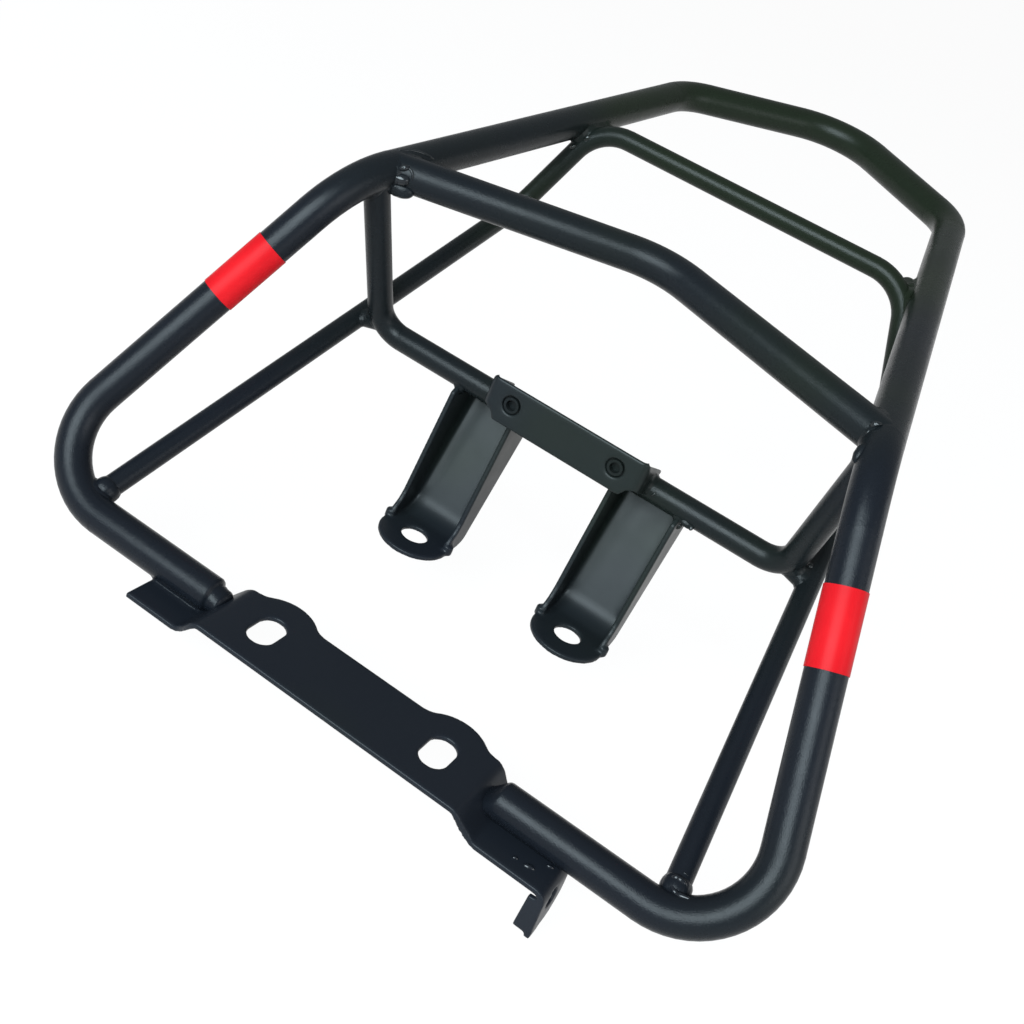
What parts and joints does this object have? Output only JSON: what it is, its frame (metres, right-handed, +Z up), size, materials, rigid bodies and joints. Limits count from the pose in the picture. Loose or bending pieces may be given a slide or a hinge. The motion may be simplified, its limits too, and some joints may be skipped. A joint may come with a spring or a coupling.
{
  "type": "motorcycle luggage rack",
  "caption": "Rear luggage rack of bent steel tube for a motorcycle, with a slotted front plate, channel legs and a lower rail, in black paint with red marking bands.",
  "frame": {"origin": "on the underside of the front plate, midway between its two bolt slots", "axes": "+X to the side that carries the small tab, +Y to the rear of the machine, +Z up along the mounting bolts"},
  "size_m": [0.3506, 0.4283, 0.2392],
  "materials": {
    "black_paint": "satin to semi-gloss black paint over steel tube and pressed steel",
    "red_tape": "glossy red plastic film"
  },
  "bodies": {
    "root": {"main_loop": "black_paint", "crossbar": "black_paint", "hoop": "black_paint", "lower_rail": "black_paint", "rear_spacer_left": "black_paint", "rear_spacer_right": "black_paint", "hoop_spacer_left": "black_paint", "hoop_spacer_right": "black_paint", "front_plate": "black_paint", "leg_left": "black_paint", "leg_right": "black_paint", "centre_bracket": "black_paint", "boss_left": "black_paint", "boss_right": "black_paint", "tape_left": "red_tape", "tape_right": "red_tape"}
  },
  "joints": []
}
